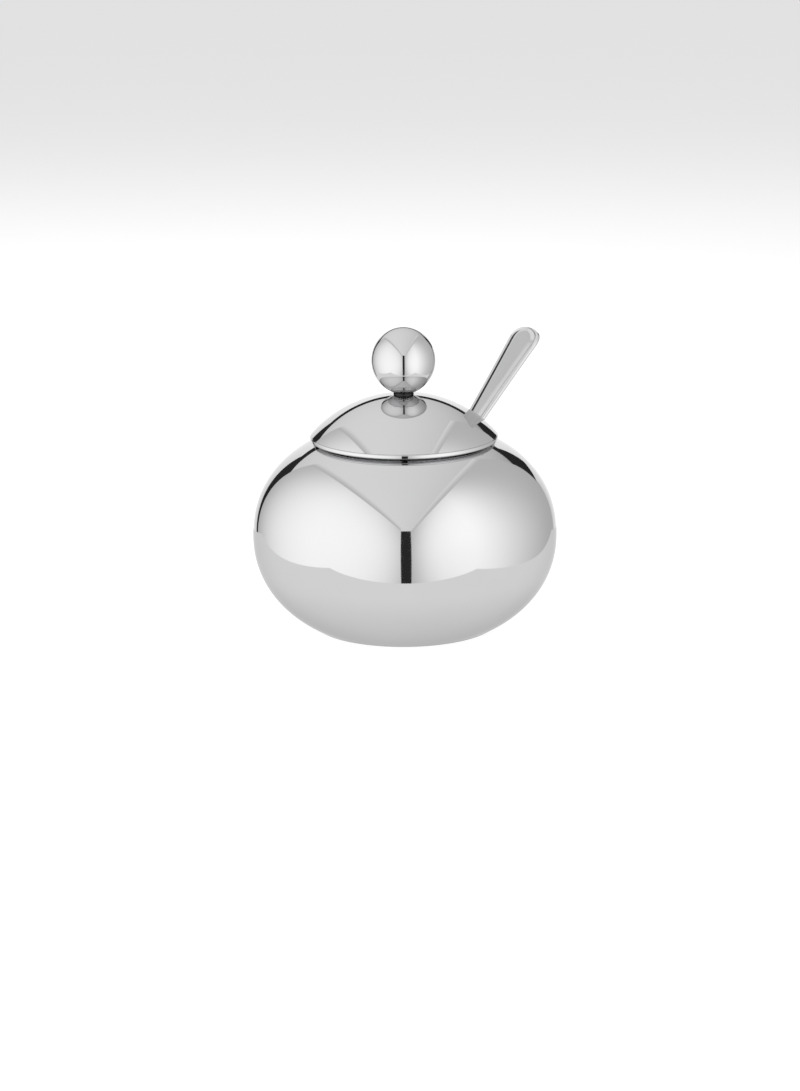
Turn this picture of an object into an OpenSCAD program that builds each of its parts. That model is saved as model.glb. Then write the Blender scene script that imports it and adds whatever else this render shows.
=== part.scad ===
// Round polished steel sugar bowl with a domed lift-off lid, a ball knob and a spoon.
// The spoon leans on the mouth of the bowl and leaves through a notch in the lid's edge.
// Millimetres, +Z up. The origin is the centre of the flat base.

/* [Bowl] */
// Diameter at the widest part of the belly
belly_d = 105; // [85:1:140]
// Height of the widest part above the base
belly_z = 31.8; // [26:0.2:42]
// Diameter of the flat base
base_d = 63.3; // [54:0.1:72]
// Rise of the upper half of the belly curve, if it were not cut by the mouth
upper_rise = 38.8; // [33:0.2:48]
// Squareness of the lower half: 2 is an ellipse
lower_power = 2.15; // [2:0.05:2.6]
// Squareness of the upper half: 2 is an ellipse
upper_power = 2.2; // [2:0.05:2.6]
// Thickness of the sheet that the bowl is spun from
bowl_wall = 0.8; // [0.5:0.1:1.5]
// Inner diameter of the mouth
mouth_d = 57.6; // [48:0.2:62]
// Height of the upright neck that stands on the shoulder round the mouth
neck_rise = 1.25; // [1:0.05:4]

/* [Lid] */
// Radius of the spherical dome
dome_r = 43.2; // [36:0.2:70]
// Thickness of the lid's sheet
lid_wall = 0.8; // [0.5:0.1:1.5]
// How far the lip reaches out past the inner edge of the mouth
lip_reach = 3.5; // [2.8:0.1:6]
// Height of the rounded lip
lip_h = 1.5; // [1.2:0.1:2.5]
// Width of the rounded lip across its section
lip_w = 1.5; // [1.2:0.1:2]
// Depth of the locating skirt inside the mouth
skirt_depth = 4.2; // [2:0.1:8]
// Thickness of the locating ring's sheet
ring_wall = 0.6; // [0.4:0.1:1]
// Play between the locating skirt and the mouth, on the radius
skirt_play = 0.4; // [0.3:0.05:1]
// Width of the spoon notch in the edge of the lid
notch_w = 12.4; // [10:0.2:18]

/* [Knob] */
// Diameter of the ball
ball_d = 22.1; // [16:0.1:30]
// Height of the full ball, which is slightly taller than it is wide
ball_h = 23; // [16:0.1:32]
// Gap between the top of the dome and the lowest point of the full ball
ball_lift = 0; // [0:0.05:3]
// Diameter of the short neck ring between the dome and the ball
neck_ring_d = 7; // [6:0.1:10]
// Diameter of the screw's thread
screw_d = 4; // [3:0.5:5]
// Length of the screw's shank that goes into the ball
screw_grip = 6; // [4:0.5:7]

/* [Spoon] */
// Whole length of the spoon
spoon_len = 128; // [116:1:140]
// Width of the handle near its rounded end
handle_w = 17.4; // [12:0.2:19]
// Width of the handle at its narrow neck
handle_neck_w = 6; // [3.6:0.2:7]
// Thickness of the handle
handle_t = 1.6; // [1.2:0.1:2.2]
// Width of the raised border round the handle's face
border_w = 1.1; // [0.7:0.1:1.6]
// Height of the raised border
border_h = 0.3; // [0.2:0.05:0.5]
// Length of the spoon's dish
dish_len = 38; // [30:1:44]
// Width of the spoon's dish
dish_w = 25; // [20:1:28]
// Depth of the spoon's dish
dish_depth = 7; // [5:0.5:9]
// Thickness of the dish's sheet
dish_wall = 1; // [0.7:0.1:1.4]
// Bend between the handle and the dish, in degrees
dish_bend = 10; // [0:1:16]
// Direction in which the handle leans, in degrees from +X towards +Y
spoon_azimuth = 30.5; // [0:0.1:360]
// Play between the spoon and what it rests on
spoon_play = 0.35; // [0.3:0.05:0.8]

/* [Hidden] */

steel = [0.80, 0.81, 0.82];
inner_steel = [0.66, 0.67, 0.68];
round_fn = 180;
small_fn = 64;
curve_steps = 30;
nudge = 0.01;            // lets a cut run past the face that it opens

belly_r = belly_d / 2;
mouth_r = mouth_d / 2;
neck_r = mouth_r + bowl_wall;
base_r = base_d / 2;
// Depth of the lower half of the belly curve, if it were not cut flat by the base
lower_depth = belly_z / pow(1 - pow(base_r / belly_r, lower_power), 1 / lower_power);

// Radius of the belly at height z, pulled in by the sheet's thickness w.
function belly_radius(z, w) =
    let (depth = (z < belly_z ? lower_depth : upper_rise) - w,
         power = z < belly_z ? lower_power : upper_power)
    (belly_r - w) * pow(max(0, 1 - pow(abs(z - belly_z) / depth, power)), 1 / power);

// Height of the upper belly curve at radius r, pulled in by the sheet's thickness w.
function shoulder_height(r, w) =
    belly_z + (upper_rise - w) * pow(1 - pow(r / (belly_r - w), upper_power), 1 / upper_power);

// Points up one face of the belly from height low to radius r_top, closer together near both ends.
function belly_points(low, r_top, w) =
    let (high = shoulder_height(r_top, w))
    [for (i = [0:curve_steps])
        let (z = low + (high - low) * (1 - cos(180 * i / curve_steps)) / 2)
        [belly_radius(z, w), z]];

function reversed(list) = [for (i = [len(list) - 1:-1:0]) list[i]];

rim_z = shoulder_height(neck_r, 0) + neck_rise;      // top of the neck
floor_z = bowl_wall;                                 // inner face of the base

// The lid sits on the neck. Its lip hangs beside the neck, clear of the shoulder.
seat_gap = 0.05;
seat_z = rim_z + seat_gap;
lip_r = mouth_r + lip_reach;
lip_drop = 1.25;                                     // the lip's lower face, below the seat
lip_z = seat_z - lip_drop;
lip_corner = 0.5;
lip_tuck = 0.25;                                     // the dome's edge, in from the lip's side
lip_step = 0.05;                                     // and up from the lip's top
dome_edge_r = lip_r - lip_tuck;
dome_c = lip_z + lip_h + lip_step - sqrt(pow(dome_r, 2) - pow(dome_edge_r, 2));
apex_z = dome_c + dome_r;
skirt_r = mouth_r - skirt_play;

// The knob stands on the top of the dome.
ball_r = ball_d / 2;
ball_c = apex_z + ball_lift + ball_h / 2;
ball_flat = ball_c - ball_h / 2 * sqrt(1 - pow(neck_ring_d / ball_d, 2));
screw_r = screw_d / 2;
hole_play = 0.25;
screw_tip = ball_flat + screw_grip;
washer_r = screw_d * 1.1;
washer_t = 0.8;
lock_r = screw_d * 0.9;
lock_t = 1;
head_r = screw_d * 0.95;
head_h = screw_d * 0.6;
washer_top = dome_c + sqrt(pow(dome_r - lid_wall, 2) - pow(washer_r, 2));
lock_top = washer_top - washer_t;
head_top = lock_top - lock_t;

// The spoon rests on the inner edge of the mouth and on the floor, with the far end of its dish
// beside the wall of the bowl. Its lean follows from those two places. The handle stands off the
// mouth's edge by the play and by as much as the edge curves in beside the handle.
across_half = handle_w * 0.3;                        // half the handle's width at the mouth
handle_off = handle_t / 2 + spoon_play + mouth_r - sqrt(pow(mouth_r, 2) - pow(across_half, 2));
end_gap = 1.6;                                       // from the dish's far end to the wall
end_lift = 1;                                        // of that end above the dish's lowest point
end_z = floor_z + spoon_play + end_lift;
end_out = mouth_r + belly_radius(end_z, bowl_wall) - end_gap;
end_down = rim_z - end_z;
spoon_lean = atan2(end_out, end_down)
    - asin((dish_len * sin(dish_bend) + handle_off) / norm([end_out, end_down]));

// The spoon's own frame has +X up the handle and +Z out of its face. Its origin is beside the
// mouth's inner edge.
lean_r = mouth_r - handle_off * cos(spoon_lean);
lean_z = rim_z + handle_off * sin(spoon_lean);
dish_lean = spoon_lean + dish_bend;
dish_half = dish_len / 2;
// The dish's lowest point is this far below the point where it joins the handle.
dish_drop = dish_half * cos(dish_lean)
    + sqrt(pow(dish_half * cos(dish_lean), 2) + pow(dish_depth * sin(dish_lean), 2));
join_x = (floor_z + spoon_play + dish_drop - lean_z) / cos(spoon_lean);
handle_len = spoon_len - dish_len;
tip_x = join_x + handle_len;
handle_lap = 4;                                      // length of the handle let into the dish

// The notch runs in from the lid's edge to just inside the spoon's face, where that face
// passes through the inside of the dome.
face_off = handle_t / 2 + border_h;
face_r = lean_r - face_off * cos(spoon_lean);
face_z = lean_z + face_off * sin(spoon_lean) - dome_c;
face_along = face_r * sin(spoon_lean) + face_z * cos(spoon_lean);
face_run = sqrt(pow(face_along, 2) - pow(face_r, 2) - pow(face_z, 2) + pow(dome_r - lid_wall, 2))
    - face_along;
notch_play = 0.7;
notch_r = face_r + face_run * sin(spoon_lean) - notch_play;
notch_corner = 2;

// A vertical slot from radius r outwards, with rounded inner corners.
module notch_cut(r, low, high) {
    rotate([0, 0, spoon_azimuth])
    translate([r, 0, low])
    linear_extrude(high - low) {
        translate([notch_corner, -notch_w / 2]) square([lip_r, notch_w]);
        translate([0, notch_corner - notch_w / 2]) square([lip_r, notch_w - 2 * notch_corner]);
        for (side = [-1, 1])
            translate([notch_corner, side * (notch_w / 2 - notch_corner)])
                circle(notch_corner, $fn = small_fn);
    }
}

// A ring of washer shape between two heights.
module washer(outer, inner, low, high) {
    translate([0, 0, low])
    difference() {
        cylinder(r = outer, h = high - low, $fn = small_fn);
        translate([0, 0, -nudge]) cylinder(r = inner, h = high - low + 2 * nudge, $fn = small_fn);
    }
}

module bowl_shell() {
    rim_round = bowl_wall / 2;
    color(steel)
    rotate_extrude($fn = round_fn) {
        polygon(concat(
            [[0, 0]],
            belly_points(0, neck_r, 0),
            [[neck_r, rim_z - rim_round], [mouth_r, rim_z - rim_round]],
            reversed(belly_points(floor_z, mouth_r, bowl_wall)),
            [[0, floor_z]]));
        // The rolled top edge of the neck
        translate([mouth_r + rim_round, rim_z - rim_round]) circle(rim_round, $fn = small_fn);
    }
}

module lip_section() {
    translate([lip_r - lip_w, lip_z]) {
        square([lip_w - lip_corner, lip_h]);
        translate([0, lip_corner]) square([lip_w, lip_h - 2 * lip_corner]);
        for (z = [lip_corner, lip_h - lip_corner])
            translate([lip_w - lip_corner, z]) circle(lip_corner, $fn = small_fn);
    }
}

module dome_section() {
    intersection() {
        translate([0, dome_c])
        difference() {
            circle(dome_r, $fn = round_fn * 2);
            circle(dome_r - lid_wall, $fn = round_fn * 2);
        }
        translate([0, lip_z + lip_h / 2]) square([dome_edge_r, dome_r]);
    }
}

module lid_dome() {
    color(steel)
    difference() {
        rotate_extrude($fn = round_fn) {
            dome_section();
            lip_section();
        }
        cylinder(r = screw_r + hole_play, h = apex_z + 1, $fn = small_fn);
        notch_cut(notch_r, lip_z - 1, apex_z);
    }
}

// An L-shaped ring: its flange rests on the neck and meets the inside of the dome,
// and its skirt hangs in the mouth.
module lid_locating_ring() {
    skirt_in = skirt_r - ring_wall;
    color(inner_steel)
    difference() {
        rotate_extrude($fn = round_fn)
        intersection() {
            union() {
                translate([skirt_in, seat_z - skirt_depth]) square([ring_wall, skirt_depth + ring_wall]);
                translate([skirt_in, seat_z]) square([lip_r - lip_w - skirt_in, ring_wall]);
            }
            translate([0, dome_c]) circle(dome_r - lid_wall, $fn = round_fn * 2);
        }
        notch_cut(skirt_in - notch_corner - 1, seat_z - skirt_depth - 1, seat_z + ring_wall + 1);
    }
}

module knob_ball() {
    color(steel)
    difference() {
        translate([0, 0, ball_c]) scale([1, 1, ball_h / ball_d]) sphere(ball_r, $fn = round_fn);
        // The flat on which the ball stands
        translate([-ball_r, -ball_r, ball_flat - ball_r]) cube([ball_d, ball_d, ball_r]);
        translate([0, 0, ball_flat - nudge]) cylinder(r = screw_r, h = screw_grip + 1, $fn = small_fn);
    }
}

module knob_neck_ring() {
    color(inner_steel)
    difference() {
        washer(neck_ring_d / 2, screw_r + hole_play, apex_z - lid_wall / 2, ball_flat);
        translate([0, 0, dome_c]) sphere(dome_r, $fn = round_fn);
    }
}

module knob_screw() {
    slot_w = screw_d / 4;
    color(inner_steel)
    difference() {
        union() {
            translate([0, 0, head_top - head_h]) cylinder(r = head_r, h = head_h, $fn = small_fn);
            translate([0, 0, head_top - nudge])
                cylinder(r = screw_r, h = screw_tip - head_top + nudge, $fn = small_fn);
        }
        translate([-head_r - 1, -slot_w / 2, head_top - head_h - nudge])
            cube([2 * head_r + 2, slot_w, head_h / 2 + nudge]);
    }
}

module knob_flat_washer() {
    color(inner_steel) washer(washer_r, screw_r + hole_play, lock_top, washer_top);
}

// The split washer is cut through once.
module knob_lock_washer() {
    split = 0.8;
    color(inner_steel)
    difference() {
        washer(lock_r, screw_r + hole_play, head_top, lock_top);
        translate([0, -split / 2, head_top - nudge]) cube([lock_r + 1, split, lock_t + 2 * nudge]);
    }
}

// Half the handle's width at distance q from its rounded end: it tapers to the neck, and the
// end is a squarish round of depth end_round.
taper_share = 0.85;
panel_share = 0.8;                                   // part of the handle inside the border
taper_power = 1.6;
end_round = 6;
end_power = 2.4;
function handle_half(q) =
    (handle_neck_w / 2 + (handle_w - handle_neck_w) / 2
        * pow(max(0, 1 - q / (taper_share * handle_len)), taper_power))
    * pow(1 - pow(max(0, 1 - q / end_round), end_power), 1 / end_power);

// The handle's outline, drawn in by inset all round. Points crowd towards the rounded end.
function handle_outline(inset, length) =
    let (side = [for (i = [0:curve_steps])
                    let (q = length * (1 - cos(90 * i / curve_steps)))
                    [tip_x - inset - q, max(0, handle_half(q) - (q > 0 ? inset : 0))]])
    concat(side, [for (i = [len(side) - 1:-1:1]) [side[i][0], -side[i][1]]]);

module handle() {
    translate([0, 0, -handle_t / 2])
        linear_extrude(handle_t) polygon(handle_outline(0, handle_len + handle_lap));
    // The raised border follows the edge of the face
    translate([0, 0, handle_t / 2 - nudge])
    linear_extrude(border_h + nudge)
    difference() {
        polygon(handle_outline(0, handle_len));
        polygon(handle_outline(border_w, handle_len * panel_share));
    }
}

// Half an ellipsoid, hanging down from the plane of the dish's rim.
module half_ellipsoid(length, width, depth) {
    intersection() {
        scale([length / 2, width / 2, depth]) sphere(1, $fn = 128);
        translate([-length, -width, -2 * depth]) cube([2 * length, 2 * width, 2 * depth]);
    }
}

module spoon() {
    color(steel)
    rotate([0, 0, spoon_azimuth])
    translate([lean_r, 0, lean_z])
    rotate([0, spoon_lean - 90, 0])
    difference() {
        union() {
            handle();
            translate([join_x, 0, 0]) rotate([0, dish_bend, 0]) translate([-dish_half, 0, 0])
                half_ellipsoid(dish_len, dish_w, dish_depth);
        }
        translate([join_x, 0, 0]) rotate([0, dish_bend, 0]) translate([-dish_half, 0, nudge])
            half_ellipsoid(dish_len - 2 * dish_wall, dish_w - 2 * dish_wall, dish_depth - dish_wall);
    }
}

bowl_shell();
lid_dome();
lid_locating_ring();
knob_ball();
knob_neck_ring();
knob_screw();
knob_flat_washer();
knob_lock_washer();
spoon();
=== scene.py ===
import math
import bmesh
import bpy
import numpy as np
from mathutils import Matrix, Vector


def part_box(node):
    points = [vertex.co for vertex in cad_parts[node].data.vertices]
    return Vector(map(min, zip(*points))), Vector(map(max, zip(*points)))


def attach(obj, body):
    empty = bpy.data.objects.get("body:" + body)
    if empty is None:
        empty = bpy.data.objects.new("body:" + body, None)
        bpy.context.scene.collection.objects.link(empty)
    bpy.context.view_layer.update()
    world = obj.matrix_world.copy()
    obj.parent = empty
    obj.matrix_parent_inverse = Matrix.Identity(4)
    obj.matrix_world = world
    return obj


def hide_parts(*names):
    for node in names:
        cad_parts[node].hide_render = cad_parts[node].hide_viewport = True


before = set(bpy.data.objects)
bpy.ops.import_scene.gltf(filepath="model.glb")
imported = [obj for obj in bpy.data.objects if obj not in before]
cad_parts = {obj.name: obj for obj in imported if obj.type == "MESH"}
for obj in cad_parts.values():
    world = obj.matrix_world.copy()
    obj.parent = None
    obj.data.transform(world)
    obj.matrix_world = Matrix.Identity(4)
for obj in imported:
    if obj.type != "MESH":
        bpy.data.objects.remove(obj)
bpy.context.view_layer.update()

print("frame loaded:", sorted(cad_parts))

# Sizes read from the frame, in metres
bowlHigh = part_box("bowl_shell")[1]
lidLow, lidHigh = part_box("lid_dome")
ballLow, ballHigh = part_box("knob_ball")
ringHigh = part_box("knob_neck_ring")[1]
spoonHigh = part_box("spoon")[1]


# A surface through a grid of points: rows run along it, columns go round it and join up
def gridMesh(name, points, capStart=False, capEnd=False):
    rows, columns = points.shape[:2]
    index = np.arange(rows * columns).reshape(rows, columns)
    index = np.concatenate([index, index[:, :1]], axis=1)
    quads = np.stack([index[:-1, :-1], index[:-1, 1:], index[1:, 1:], index[1:, :-1]], axis=-1)
    faces = quads.reshape(-1, 4).tolist()
    mesh = bpy.data.meshes.new(name)
    vertices = points.reshape(-1, 3)
    if capStart:
        faces.append(index[0, :columns][::-1].tolist())
    if capEnd:
        faces.append(index[-1, :columns].tolist())
    mesh.from_pydata(vertices.tolist(), [], faces)
    mesh.update()
    return mesh


# Welds doubled points, turns every face outwards, shades it smooth and hands it to the frame
def finishPiece(name, mesh, material, body, replaced, smoothAngle=40):
    work = bmesh.new()
    work.from_mesh(mesh)
    bmesh.ops.remove_doubles(work, verts=work.verts, dist=2e-7)
    bmesh.ops.dissolve_degenerate(work, edges=work.edges, dist=1e-8)
    bmesh.ops.recalc_face_normals(work, faces=work.faces)
    work.to_mesh(mesh)
    work.free()
    mesh.shade_smooth()
    mesh.set_sharp_from_angle(angle=math.radians(smoothAngle))
    piece = bpy.data.objects.new(name, mesh)
    bpy.context.scene.collection.objects.link(piece)
    piece.data.materials.append(material)
    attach(piece, body)
    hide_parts(*replaced)
    print(name, "has", len(mesh.polygons), "faces")


# A section of (radius, height) points carried once round the upright axis:
# x = radius * sin(turn), y = -radius * cos(turn), z = height
def turned(name, section, around, material, body, replaced):
    turn = np.linspace(0, 2 * math.pi, around, endpoint=False)
    radius, height = section[:, 0][:, None], section[:, 1][:, None]
    points = np.stack([radius * np.sin(turn), -radius * np.cos(turn),
                       height + 0 * turn], axis=-1)
    finishPiece(name, gridMesh(name, points), material, body, replaced)


# Points round a circle, from one angle to another, in degrees
def arc(centre, radius, start, end, count):
    angle = np.radians(np.linspace(start, end, count))
    return np.stack([centre[0] + radius * np.cos(angle), centre[1] + radius * np.sin(angle)], axis=-1)


# Points along a straight line
def line(start, end, count):
    share = np.linspace(0, 1, count)[:, None]
    return np.array(start) * (1 - share) + np.array(end) * share


# Wraps one socket, so that material maths reads as an expression
class Shade:
    def __init__(self, tree, socket):
        self.tree = tree
        self.socket = socket

    def maths(self, operation, other=None, swap=False):
        values = [self, other] if not swap else [other, self]
        return self.tree.make("ShaderNodeMath", {"operation": operation},
                              [v for v in values if v is not None])

    def __add__(self, other):
        return self.maths("ADD", other)

    def __radd__(self, other):
        return self.maths("ADD", other, True)

    def __sub__(self, other):
        return self.maths("SUBTRACT", other)

    def __rsub__(self, other):
        return self.maths("SUBTRACT", other, True)

    def __mul__(self, other):
        return self.maths("MULTIPLY", other)

    def __rmul__(self, other):
        return self.maths("MULTIPLY", other, True)

    def __truediv__(self, other):
        return self.maths("DIVIDE", other)

    def __rtruediv__(self, other):
        return self.maths("DIVIDE", other, True)

    def __pow__(self, other):
        return self.maths("POWER", other)


# One node tree, and the method that adds a node to it
class Tree:
    def __init__(self, nodeTree):
        self.nodes = nodeTree.nodes
        self.links = nodeTree.links
        self.nodes.clear()

    # Adds a node of one type: its settings first, then the values or links of its sockets
    def make(self, kind, settings, values, output=0):
        node = self.nodes.new(kind)
        for name, value in settings.items():
            setattr(node, name, value)
        pairs = values.items() if isinstance(values, dict) else enumerate(values)
        for key, value in pairs:
            if isinstance(value, Shade):
                self.links.new(value.socket, node.inputs[key])
            elif value is not None:
                node.inputs[key].default_value = value
        self.last = node
        return Shade(self, node.outputs[output]) if len(node.outputs) else None

    # A soft step of a value: first below low, last above high
    def smooth(self, value, low, high, first=0.0, last=1.0):
        return self.make("ShaderNodeMapRange", {"interpolation_type": "SMOOTHSTEP"},
                         [value, low, high, first, last])

    def noise(self, place, scale, detail=2.0, roughness=0.5):
        return self.make("ShaderNodeTexNoise", {}, {"Vector": place, "Scale": scale, "Detail": detail,
                                                    "Roughness": roughness})


def newMaterial(name):
    material = bpy.data.materials.new(name)
    material.use_nodes = True
    return material, Tree(material.node_tree)


# How fine the marks on every metal are, and where their noise shows
marking = {
    "hairRound": 1.3, "hairAcross": 900.0,          # hairlines of a piece spun round its axis
    "hairScale": (60.0, 700.0, 700.0),              # hairlines of a piece that is not
    "scratchTurn": (0.5, 0.9, 0.3), "scratchScale": (900.0, 35.0, 300.0),
    "scratchShow": (0.69, 0.76),
    "patchScale": 38.0, "patchShow": (0.45, 0.7),   # patches that hold the scratches
    "hazeScale": 16.0, "hazeShow": (0.42, 0.78),
    "waveScale": 24.0,
}

polish = {
    "colour": (0.645, 0.645, 0.65, 1.0),
    "roughness": 0.035,
    "haze": 0.03,            # extra roughness in faint polishing haze
    "scratchRoughness": 0.09,
    "fade": 0.965,           # how much the haze darkens the steel
    "edge": (0.76, 0.76, 0.76, 1.0),
    "wave": 0.00002,         # height of the slow waves of a spun sheet, in metres
    "scratchDepth": 0.0000006,
}


# Mirror-polished steel: slow waves, faint haze, hair scratches that go round the piece
def polishedSteel(name, look, spin=True):
    material, tree = newMaterial(name)
    place = tree.make("ShaderNodeTexCoord", {}, {}, 3)
    apart = tree.make("ShaderNodeSeparateXYZ", {}, [place])
    x, y, z = (Shade(tree, tree.last.outputs[i]) for i in range(3))
    radius = ((x * x) + (y * y)) ** 0.5
    turn = tree.make("ShaderNodeMath", {"operation": "ARCTAN2"}, [x, y])
    # Round the axis the hairlines stretch far along the turn and lie close together across it
    if spin:
        fine = marking["hairAcross"]
        hairPlace = tree.make("ShaderNodeCombineXYZ", {},
                              [turn * marking["hairRound"], radius * fine, z * fine])
    else:
        hairPlace = tree.make("ShaderNodeMapping", {}, {"Vector": place, "Scale": marking["hairScale"]})
    hair = tree.noise(hairPlace, 1.0, 3.0, 0.6)
    scratchPlace = tree.make("ShaderNodeMapping", {},
                             {"Vector": place, "Rotation": marking["scratchTurn"],
                              "Scale": marking["scratchScale"]})
    scratch = tree.smooth(tree.noise(scratchPlace, 1.0, 2.0, 0.7), *marking["scratchShow"])
    where = tree.smooth(tree.noise(place, marking["patchScale"], 3.0, 0.6), *marking["patchShow"])
    haze = tree.smooth(tree.noise(place, marking["hazeScale"], 4.0, 0.62), *marking["hazeShow"])
    marks = scratch * where
    roughness = look["roughness"] + haze * look["haze"] + marks * look["scratchRoughness"] \
        + (hair - 0.5) * look["haze"]
    slow = tree.noise(place, marking["waveScale"], 1.0, 0.3)
    height = slow * look["wave"] + hair * look["scratchDepth"] - marks * look["scratchDepth"]
    bump = tree.make("ShaderNodeBump", {}, {"Strength": 1.0, "Distance": 1.0, "Height": height})
    worn = tuple(c * look["fade"] for c in look["colour"][:3]) + (1.0,)
    tint = tree.make("ShaderNodeMix", {"data_type": "RGBA"}, {0: haze, 6: look["colour"], 7: worn}, 2)
    surface = tree.make("ShaderNodeBsdfPrincipled", {},
                        {"Base Color": tint, "Metallic": 1.0, "Roughness": roughness,
                         "Specular Tint": look["edge"], "Normal": bump})
    tree.make("ShaderNodeOutputMaterial", {}, {"Surface": surface})
    return material


plain = {
    "colour": (0.45, 0.455, 0.46, 1.0),
    "roughness": 0.28,
    "haze": 0.12,
    "scratchRoughness": 0.2,
    "fade": 0.9,
    "edge": (0.8, 0.8, 0.8, 1.0),
    "wave": 0.0,
    "scratchDepth": 0.000002,
}

bowlSteel = polishedSteel("bowlSteel", polish)
lidSteel = polishedSteel("lidSteel", polish)
ballSteel = polishedSteel("ballSteel", polish)
spoonLook = dict(polish, colour=(0.69, 0.69, 0.695, 1.0), roughness=0.09, haze=0.1, fade=0.84)
spoonSteel = polishedSteel("spoonSteel", spoonLook, False)
ringSteel = polishedSteel("ringSteel", dict(plain, roughness=0.2))
# The neck ring's near-black colour and dim edge tint are painted shade: they stand in for the shade in the
# crevice between the ball and the dome
neckPaintedShadeLook = dict(plain, colour=(0.04, 0.04, 0.042, 1.0), edge=(0.3, 0.3, 0.3, 1.0))
neckPaintedShade = polishedSteel("neckPaintedShade", neckPaintedShadeLook)
fixingSteel = polishedSteel("fixingSteel", plain)
print("metals made")


# The bowl is one spun sheet, closed inside and out
bowl = {
    "wall": 0.0008,
    "widestHeight": 0.0318,
    "lowerDepth": 0.0385, "lowerPower": 2.15,
    "upperRise": 0.0388, "upperPower": 2.2,
    "mouthRadius": 0.0288,
    "footRound": 0.0006,
    "around": 360,
}


# Squared-off ellipse: radius = wide * (1 - (|height - widest| / depth) ^ power) ^ (1 / power)
def bellyRadius(height, wall):
    wide = bowlHigh[0] - wall
    lower = height < bowl["widestHeight"]
    depth = np.where(lower, bowl["lowerDepth"], bowl["upperRise"]) - wall
    power = np.where(lower, bowl["lowerPower"], bowl["upperPower"])
    share = np.abs(height - bowl["widestHeight"]) / depth
    return wide * np.clip(1 - share ** power, 0, None) ** (1 / power)


# The same curve turned round, for the upper half: height from radius
def shoulderHeight(radius, wall):
    power = bowl["upperPower"]
    share = radius / (bowlHigh[0] - wall)
    return bowl["widestHeight"] + (bowl["upperRise"] - wall) * (1 - share ** power) ** (1 / power)


# Points up one face of the belly, closer together near both ends
def bellyLine(low, topRadius, wall, count):
    high = shoulderHeight(topRadius, wall)
    height = low + (high - low) * (1 - np.cos(np.linspace(0, math.pi, count))) / 2
    return np.stack([bellyRadius(height, wall), height], axis=-1)


# Closed section: underside, foot corner, outer face, neck, rolled rim, inner face, floor
def bowlSection():
    wall, mouth = bowl["wall"], bowl["mouthRadius"]
    neck, rim = mouth + wall, bowlHigh[2]
    outer = bellyLine(0.0003, neck, 0, 130)
    inner = bellyLine(wall, mouth, wall, 70)[::-1]
    foot = outer[0]
    sweep = np.linspace(0, math.pi / 2, 6)[1:-1]
    # The edge of the base is a small round from the flat underside into the belly
    footCorner = np.stack([foot[0] - bowl["footRound"] * (1 - np.sin(sweep)),
                           foot[1] * (1 - np.cos(sweep))], axis=-1)
    return np.concatenate([
        line((0, 0), (foot[0] - bowl["footRound"], 0), 12), footCorner, outer,
        line((neck, outer[-1][1]), (neck, rim - wall / 2), 5)[1:-1],
        arc((mouth + wall / 2, rim - wall / 2), wall / 2, 0, 180, 11),
        line((mouth, rim - wall / 2), (mouth, inner[0][1]), 5)[1:-1], inner,
        line(inner[-1], (0, wall), 10)[1:]])


turned("bowl", bowlSection(), bowl["around"], bowlSteel, "bowl", ["bowl_shell"])


# The lid is a spherical dome with a rounded lip and a notch for the spoon
lid = {
    "domeRadius": 0.0432,
    "wall": 0.0008,
    "lipHeight": 0.0015, "lipWidth": 0.0015, "lipCorner": 0.0005,
    "edgeStep": 0.00025, "lipStep": 0.00005,        # the dome's edge, in and up from the lip
    "holeRadius": 0.00225,
    "notchWidth": 0.0124, "notchStart": 0.02722, "notchCorner": 0.002,
    "notchFade": 0.5,        # the columns lean less and less over this angle beside the notch
    "around": 300, "notchColumns": 61,
}
spoonTurn = math.radians(30.5)       # direction of the lean, from +X towards +Y
lipRadius = lidHigh[0]
lipZ = lidLow[2]
domeEdge = lipRadius - lid["edgeStep"]
domeCentre = lipZ + lid["lipHeight"] + lid["lipStep"] - math.sqrt(lid["domeRadius"] ** 2 - domeEdge ** 2)
apexZ = domeCentre + lid["domeRadius"]


# Sphere: height = centre + sqrt((dome radius - wall) ^ 2 - radius ^ 2)
def domeHeight(radius, wall):
    return domeCentre + np.sqrt((lid["domeRadius"] - wall) ** 2 - radius ** 2)


# The section from the wall of the screw hole out over the dome, round the lip and back inside
def lidSection():
    corner, width = lid["lipCorner"], lid["lipWidth"]
    outRadius = lid["holeRadius"] + (domeEdge - lid["holeRadius"]) * np.linspace(0, 1, 110) ** 0.9
    dome = np.stack([outRadius, domeHeight(outRadius, 0)], axis=-1)
    lipTop = lipZ + lid["lipHeight"]
    insideTop = domeHeight(lipRadius - width, lid["wall"])
    inRadius = np.linspace(lipRadius - width, lid["holeRadius"], 60)
    inside = np.stack([inRadius, domeHeight(inRadius, lid["wall"])], axis=-1)
    return np.concatenate([
        dome,
        arc((lipRadius - corner, lipTop - corner), corner, 75, 0, 8),
        arc((lipRadius - corner, lipZ + corner), corner, 0, -90, 9),
        line((lipRadius - corner, lipZ), (lipRadius - width, lipZ), 4)[1:],
        line((lipRadius - width, lipZ), (lipRadius - width, insideTop), 4)[1:-1],
        inside])


# Radius at which the notch starts, at an angle from its middle: a straight inner end,
# radius = start / cos(angle), then a round corner, where the ray meets the corner's circle
def notchEdge(offset):
    start, corner, half = lid["notchStart"], lid["notchCorner"], lid["notchWidth"] / 2
    away = np.abs(offset)
    straight = start / np.cos(away)
    cornerX, cornerY = start + corner, half - corner
    along = cornerX * np.cos(away) + cornerY * np.sin(away)
    across = cornerX ** 2 + cornerY ** 2 - corner ** 2
    rounded = along - np.sqrt(np.clip(along ** 2 - across, 0, None))
    return np.where(start * np.tan(away) <= cornerY, straight, rounded)


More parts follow.
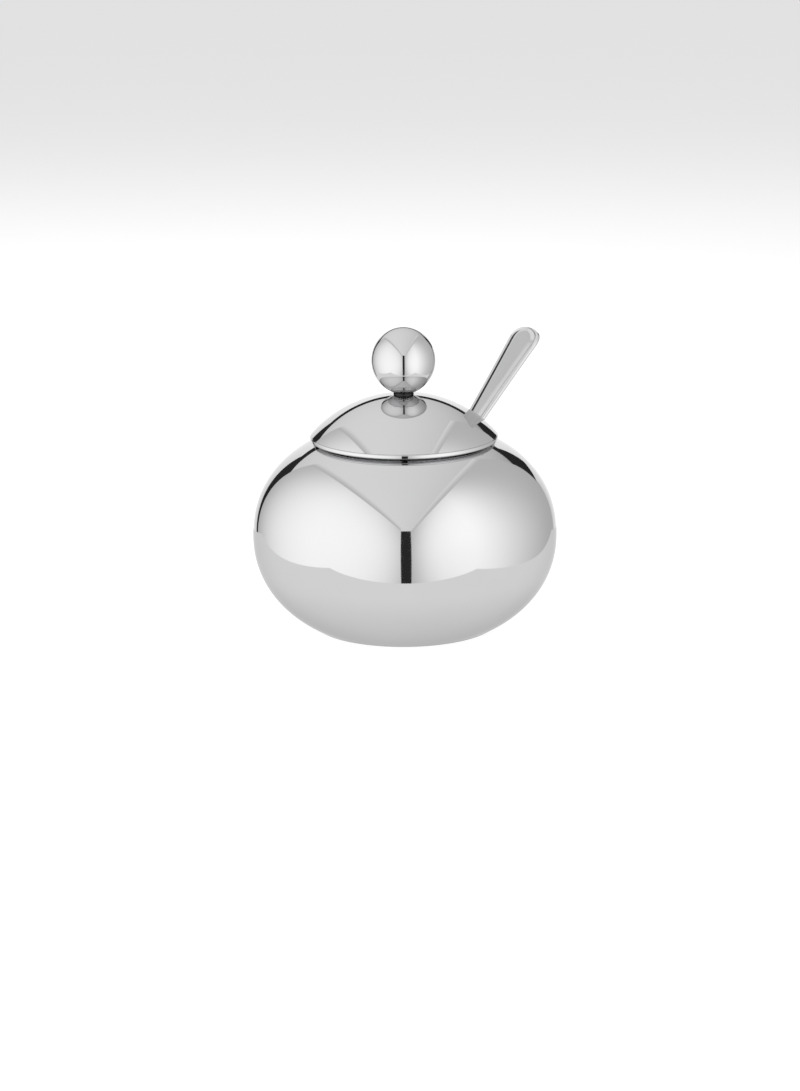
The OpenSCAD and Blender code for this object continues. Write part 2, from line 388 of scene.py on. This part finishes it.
# The lid's section carried round. Beside the notch the columns lean so as to run along its
# straight sides, angle = arcsin(half width / radius). Inside it the section stops at its edge.
def lidPoints():
    section = lidSection()
    half = lid["notchWidth"] / 2
    cornerStart = lid["notchStart"] + lid["notchCorner"]
    wide = math.atan2(half, cornerStart)
    sideRadius = math.hypot(half, cornerStart)
    radius, height = section[:, 0][:, None], section[:, 1][:, None]
    # Columns outside the notch, from one side round to the other
    outside = np.linspace(wide, 2 * math.pi - wide, lid["around"])[None, :]
    fromSide = np.minimum(outside - wide, 2 * math.pi - wide - outside)
    close = np.clip(1 - fromSide / lid["notchFade"], 0, 1)
    fade = close ** 2 * (3 - 2 * close)
    sideAngle = np.arcsin(np.clip(half / np.maximum(radius, half), -1, 1))
    pull = np.where(radius > sideRadius, wide - sideAngle, 0)
    signed = np.where(outside < math.pi, -1.0, 1.0)
    outsideAngle = outside + signed * pull * fade
    outsideRadius = radius + 0 * outside
    outsideHeight = height + 0 * outside
    # Columns inside the notch, cut off at its edge by an upright wall
    inside = np.linspace(-wide, wide, lid["notchColumns"])[None, :]
    limit = notchEdge(inside)
    cut = radius > limit
    order = np.cumsum(cut, axis=0) / np.maximum(cut.sum(axis=0, keepdims=True) + 1, 1)
    top, bottom = domeHeight(limit, 0), domeHeight(limit, lid["wall"])
    wallHeight = top + (bottom - top) * order
    insideRadius = np.where(cut, limit, radius)
    insideHeight = np.where(cut, wallHeight, height)
    angle = np.concatenate([outsideAngle, inside + 0 * radius], axis=1)
    radii = np.concatenate([outsideRadius, insideRadius], axis=1)
    heights = np.concatenate([outsideHeight, insideHeight], axis=1)
    around = angle + spoonTurn
    return np.stack([radii * np.cos(around), radii * np.sin(around), heights], axis=-1)


lidGrid = lidPoints()
lidGrid = np.concatenate([lidGrid, lidGrid[:1]], axis=0)        # closes the wall of the screw hole
finishPiece("lid", gridMesh("lid", lidGrid), lidSteel, "lid", ["lid_dome"], 35)


# The knob is a slightly tall ball on a short neck ring
knob = {"holeRadius": 0.002, "holeDepth": 0.007, "fullHeight": 0.023, "around": 240}


# Ellipse: radius = wide * cos(angle), height = centre + half height * sin(angle), cut by the flat
def ballSection():
    wide, half = (ballHigh[0] - ballLow[0]) / 2, knob["fullHeight"] / 2
    centre, flat = ballHigh[2] - half, ballLow[2]
    angle = np.linspace(math.pi / 2, math.asin((flat - centre) / half), 150)
    outside = np.stack([wide * np.cos(angle), centre + half * np.sin(angle)], axis=-1)
    hole, deep = knob["holeRadius"], flat + knob["holeDepth"]
    return np.concatenate([
        outside,
        line(outside[-1], (hole, flat), 4)[1:],
        line((hole, flat), (hole, deep), 4)[1:],
        line((hole, deep), (0, deep), 3)[1:]])


# The ring's closed section; its side is waisted as radius = wide - waist * sin(pi * share)
def neckSection():
    radius = ringHigh[0]
    hole = lid["holeRadius"]
    top = ringHigh[2]
    under = domeHeight(np.linspace(radius, hole, 6), 0)
    waist = 0.00008
    side = np.linspace(0, 1, 9)
    low = domeHeight(radius, 0)
    return np.concatenate([
        line((hole, top), (radius, top), 3),
        np.stack([radius - waist * np.sin(math.pi * side), top + (low - top) * side], axis=-1)[1:-1],
        np.stack([np.linspace(radius, hole, 6), under], axis=-1),
        [[hole, top]]])


turned("knobBall", ballSection(), knob["around"], ballSteel, "lid", ["knob_ball"])
turned("knobNeck", neckSection(), 120, neckPaintedShade, "lid", ["knob_neck_ring"])


# The spoon is one pressed piece
spoon = {
    "length": 0.128, "dishLength": 0.038, "dishWidth": 0.0245, "dishDepth": 0.0064, "dishWall": 0.001,
    "tipWidth": 0.0174, "neckWidth": 0.006, "thickness": 0.0016,
    "taperShare": 0.85, "taperPower": 1.6,
    "endRound": 0.006, "endPower": 2.4,
    "borderWidth": 0.0011, "borderHeight": 0.00028, "crown": 0.00028,
    "bend": math.radians(10), "lean": math.radians(38.2314),
    "startRadius": 0.027522, "startHeight": 0.067402,      # where the handle passes the mouth's edge
    "crowd": 0.92,           # how closely the stations gather at both ends
    "stations": 420, "faceColumns": 81, "backColumns": 41,
}


# Half the handle's width: neck + spread * (1 - fromEnd / taper) ^ power, closed by a squarish round
def handleHalf(fromEnd):
    handle = spoon["length"] - spoon["dishLength"]
    taper = np.clip(1 - fromEnd / (spoon["taperShare"] * handle), 0, 1) ** spoon["taperPower"]
    half = spoon["neckWidth"] / 2 + (spoon["tipWidth"] - spoon["neckWidth"]) / 2 * taper
    close = 1 - np.clip(1 - fromEnd / spoon["endRound"], 0, 1) ** spoon["endPower"]
    return half * close ** (1 / spoon["endPower"])


# Stations run from the dish's tip to the handle's end, columns across the face and back along
# the underside. Height = dish hollow + half thickness * (1 - |across| ^ 6) ^ (1 / 6)
def spoonPoints():
    length, dish = spoon["length"], spoon["dishLength"]
    share = np.linspace(0, 1, spoon["stations"])
    # Crowd the stations towards both ends, where the outline turns quickly
    along = length * (share - spoon["crowd"] * np.sin(2 * math.pi * share) / (2 * math.pi))
    along = np.clip(along, 0, length)[:, None]
    mid = dish / 2
    oval = spoon["dishWidth"] / 2 * np.sqrt(np.clip(1 - ((along - mid) / mid) ** 2, 0, 1))
    stem = handleHalf(length - along) * np.clip((along - dish * 0.45) / (dish * 0.5), 0, 1) ** 2
    half = (oval ** 3 + stem ** 3) ** (1 / 3)
    faceShare = np.sin(np.linspace(-1, 1, spoon["faceColumns"]) * math.pi / 2)
    backShare = np.sin(np.linspace(1, -1, spoon["backColumns"]) * math.pi / 2)[1:-1]
    across = np.concatenate([faceShare, backShare])[None, :]
    side = np.concatenate([np.ones(len(faceShare)), -np.ones(len(backShare))])[None, :]
    y = half * across
    inDish = ((along - mid) / mid) ** 2 + (across * oval / (spoon["dishWidth"] / 2)) ** 2
    hollow = -spoon["dishDepth"] * np.clip(1 - inDish, 0, 1) ** 0.75 * (along < dish)
    isHandle = np.clip((along - dish * 0.85) / (dish * 0.4), 0, 1)
    isHandle = isHandle ** 2 * (3 - 2 * isHandle)
    thick = spoon["dishWall"] + (spoon["thickness"] - spoon["dishWall"]) * isHandle
    z = hollow + side * thick / 2 * np.clip(1 - np.abs(across) ** 6, 0, 1) ** (1 / 6)
    # Raised border and crowned panel on the face, both measured in from the handle's edge
    slope = np.gradient(half[:, 0], along[:, 0] + np.arange(len(along)) * 1e-12)[:, None]
    inset = (half - np.abs(y)) / np.sqrt(1 + np.clip(slope, -6, 6) ** 2)
    width = spoon["borderWidth"]
    bead = np.sin(math.pi * np.clip((inset - 0.1 * width) / width, 0, 1)) ** 1.3
    panel = np.clip((inset - 1.15 * width) / (2.2 * width), 0, 1)
    panel = panel ** 2 * (3 - 2 * panel)
    relief = (bead * spoon["borderHeight"] + panel * spoon["crown"]) * isHandle * (side > 0)
    z = z + relief * np.clip((length - along) / 0.0002, 0, 1)
    # Bend the dish up towards the face, turning smoothly near the neck
    x = along - dish
    turn = spoon["bend"] * np.clip(-x / 0.006, 0, 1)
    lift = np.clip(-x, 0, None)
    bentX = x + (1 - np.cos(turn)) * lift + np.sin(turn) * z
    bentZ = z * np.cos(turn) + np.sin(turn) * lift
    return bentX + 0 * y, y, bentZ + 0 * y


# Turns the spoon's own frame (X up the handle, Z out of its face) to its lean on the mouth
def placeSpoon():
    x, y, z = spoonPoints()
    lean, startR, startZ = spoon["lean"], spoon["startRadius"], spoon["startHeight"]
    # The handle's end is as high as the frame's spoon
    endRise = spoonHigh[2] - startZ - (spoon["thickness"] / 2) * math.sin(lean)
    endX = endRise / math.cos(lean) - 0.0002
    x = x + endX - (spoon["length"] - spoon["dishLength"])
    r = startR + x * math.sin(lean) - z * math.cos(lean)
    height = startZ + x * math.cos(lean) + z * math.sin(lean)
    c, s = math.cos(spoonTurn), math.sin(spoonTurn)
    return np.stack([r * c - y * s, r * s + y * c, height], axis=-1)


spoonMesh = gridMesh("spoon", placeSpoon(), True, True)
finishPiece("sugarSpoon", spoonMesh, spoonSteel, "spoon", ["spoon"], 60)


# Gives a piece kept from the frame its metal
def dress(node, material):
    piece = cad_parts[node]
    piece.data.materials.clear()
    piece.data.materials.append(material)


for name in ("knob_screw", "knob_flat_washer", "knob_lock_washer"):
    dress(name, fixingSteel)
dress("lid_locating_ring", ringSteel)
print("pieces made")


# The studio: a table board between two white cards, a grey ceiling and a white backdrop
studio = {
    "leftFoot": -0.1553, "leftLean": -0.279, "leftFront": -0.468, "leftBack": 0.257,
    "rightFoot": 0.1304, "rightLean": 0.169, "rightFront": -0.528, "rightBack": 0.20,
    "cardTop": 0.28, "cardEdge": 0.05, "cardLow": -0.35,
    "boardFront": -0.108, "boardBack": 0.135,
    "ceilingHeight": 0.5, "ceilingFront": -0.87, "ceilingBack": 0.95, "ceilingLight": 0.64,
    "backdropY": 0.45, "backdropTop": 0.22, "backdropLow": -0.4, "backdropLight": 0.91,
    # The backdrop is wide up to the step on its right, and tapers upwards on its left
    "backdropStep": 0.104, "backdropRight": (0.30, 0.20, 0.19), "backdropLeft": (-0.36, -0.29, -0.225),
    "darkRoom": 0.03,
    "gain": 1.55,            # makes up for the light that the steel does not give back
}


# A surface that only gives light. strengthOf works its strength out from x, y and z
def glow(name, strengthOf, gain=studio["gain"]):
    material, tree = newMaterial(name)
    place = tree.make("ShaderNodeTexCoord", {}, {}, 3)
    tree.make("ShaderNodeSeparateXYZ", {}, [place])
    x, y, z = (Shade(tree, tree.last.outputs[i]) for i in range(3))
    light = tree.make("ShaderNodeEmission", {}, {"Strength": strengthOf(tree, x, y, z) * gain})
    tree.make("ShaderNodeOutputMaterial", {}, {"Surface": light})
    return material


# 1 at the centre, falling as exp(-(distance / width) ^ 2), with its own width on each side
def bell(tree, value, centre, below, above):
    away = value - centre
    low = tree.make("ShaderNodeMath", {"operation": "MINIMUM"}, [away, 0.0]) / below
    high = tree.make("ShaderNodeMath", {"operation": "MAXIMUM"}, [away, 0.0]) / above
    return tree.make("ShaderNodeMath", {"operation": "EXPONENT"}, [0.0 - (low * low + high * high)])


# A four-cornered flat of the studio, hidden from the camera unless asked for
def stageFlat(name, corners, material, camera=False, diffuse=True, glossy=True):
    mesh = bpy.data.meshes.new(name)
    mesh.from_pydata(corners, [], [list(range(len(corners)))])
    mesh.update()
    flat = bpy.data.objects.new(name, mesh)
    flat.data.materials.append(material)
    bpy.context.scene.collection.objects.link(flat)
    flat.visible_camera = camera
    flat.visible_diffuse = diffuse
    flat.visible_glossy = glossy
    flat.visible_shadow = False


# An upright card that runs straight from front to back: x = foot + lean * y
def card(name, foot, lean, front, back, low, high, material):
    near, far = foot + lean * front, foot + lean * back
    corners = [(near, front, low), (far, back, low), (far, back, high), (near, front, high)]
    stageFlat(name, corners, material)


def leftLight(tree, x, y, z):
    return 0.45 + 0.46 * bell(tree, y, -0.09, 0.36, 0.19) * bell(tree, z, 0.07, 0.30, 0.30)


def rightLight(tree, x, y, z):
    return 0.44 + 0.49 * bell(tree, y, -0.12, 0.27, 0.10) * bell(tree, z, 0.09, 0.25, 0.25)


def edgeLight(tree, x, y, z):
    return tree.smooth(z, studio["cardTop"], studio["cardTop"] + studio["cardEdge"], 0.44, 0.62)


# The board's light dims towards the bowl's axis: a painted shadow of the bowl on the board, seen only in
# the steel's reflections
def boardLightPaintedShadow(tree, x, y, z):
    away = ((x * x) + (y * y)) ** 0.5
    return tree.smooth(away, 0.026, 0.075, 0.52, 0.63)


def backdropLight(tree, x, y, z):
    return studio["backdropLight"] * bell(tree, x, 0.0, 0.5, 0.5)


def ceilingLight(tree, x, y, z):
    return studio["ceilingLight"] * bell(tree, x, -0.2, 1.3, 1.0)


# The same light at every place
def evenLight(strength):
    return lambda tree, x, y, z: strength + y * 0.0


cardTop = studio["cardTop"]
for name, side, light in (("leftCard", "left", leftLight), ("rightCard", "right", rightLight)):
    shape = [studio[side + part] for part in ("Foot", "Lean", "Front", "Back")]
    card(name, *shape, studio["cardLow"], cardTop, glow(name + "Light", light))
    card(name + "Edge", *shape, cardTop, cardTop + studio["cardEdge"], glow(name + "EdgeLight", edgeLight))

front, back, boardZ = studio["boardFront"], studio["boardBack"], 0.00005
stageFlat("board", [(-0.5, front, boardZ), (0.5, front, boardZ), (0.5, back, boardZ), (-0.5, back, boardZ)],
          glow("boardLightPaintedShadow", boardLightPaintedShadow), diffuse=False)
front, back, roof = (studio["ceiling" + part] for part in ("Front", "Back", "Height"))
stageFlat("ceiling", [(-0.9, front, roof), (0.9, front, roof), (0.9, back, roof), (-0.9, back, roof)],
          glow("ceilingLight", ceilingLight))
y, low, step, high = (studio["backdrop" + part] for part in ("Y", "Low", "Step", "Top"))
leftLow, leftMiddle, leftHigh = studio["backdropLeft"]
rightWide, rightStep, rightHigh = studio["backdropRight"]
stageFlat("backdrop", [(leftLow, y, low), (rightWide, y, low), (rightWide, y, step), (rightStep, y, step),
                       (rightHigh, y, high), (leftHigh, y, high), (leftMiddle, y, 0.0)],
          glow("backdropLight", backdropLight))

# The floor that the camera sees: pale and evenly bright
floorMaterial, tree = newMaterial("paleFloor")
matt = tree.make("ShaderNodeBsdfDiffuse", {}, {"Color": (0.5, 0.5, 0.5, 1.0)})
own = tree.make("ShaderNodeEmission", {}, {"Strength": 0.74})
both = tree.make("ShaderNodeAddShader", {}, [matt, own])
tree.make("ShaderNodeOutputMaterial", {}, {"Surface": both})
wide = 6
stageFlat("floor", [(-wide, -wide, 0), (wide, -wide, 0), (wide, wide, 0), (-wide, wide, 0)],
          floorMaterial, camera=True, glossy=False)

# White all round for the camera alone; the mirror surfaces see a dark room past the cards
roomMesh = bpy.data.meshes.new("room")
work = bmesh.new()
bmesh.ops.create_icosphere(work, subdivisions=3, radius=7.5)
work.to_mesh(roomMesh)
work.free()
room = bpy.data.objects.new("room", roomMesh)
room.data.materials.append(glow("roomLight", evenLight(1.0), 1.0))
bpy.context.scene.collection.objects.link(room)
room.visible_diffuse = room.visible_glossy = room.visible_shadow = room.visible_transmission = False

world = bpy.data.worlds.new("darkRoom")
bpy.context.scene.world = world
world.use_nodes = True
worldTree = Tree(world.node_tree)
shade = studio["darkRoom"]
background = worldTree.make("ShaderNodeBackground", {}, {"Color": (shade, shade, shade, 1.0)})
worldTree.make("ShaderNodeOutputWorld", {}, {"Surface": background})
print("studio made")


# The camera, with small turns away from its aim that frame the bowl
view = {
    "place": (0.0, -1.0087, 0.2917),
    "aim": (0.0, 0.0, 0.03176),
    "lens": 99.3,
    "roll": math.radians(0.5),
    "panLeft": math.radians(0.095),
    "tiltDown": math.radians(0.242),
}
camera = bpy.data.objects.new("camera", bpy.data.cameras.new("camera"))
bpy.context.scene.collection.objects.link(camera)
bpy.context.scene.camera = camera
camera.data.lens = view["lens"]
camera.data.sensor_width = 36.0
camera.data.sensor_fit = "AUTO"
camera.data.clip_start = 0.05
forward = (Vector(view["aim"]) - Vector(view["place"])).normalized()
right = forward.cross(Vector((0, 0, 1))).normalized()
up = right.cross(forward)
looking = (forward - right * math.tan(view["panLeft"]) - up * math.tan(view["tiltDown"])).normalized()
sideOf = looking.cross(up).normalized()
upOf = sideOf.cross(looking)
turnBack = Matrix.Rotation(view["roll"], 3, looking)
basis = Matrix((sideOf, upOf, -looking)).transposed()
camera.matrix_world = Matrix.Translation(Vector(view["place"])) @ (turnBack @ basis).to_4x4()

scene = bpy.context.scene
scene.view_settings.view_transform = "Standard"
scene.view_settings.look = "None"
print("camera placed")
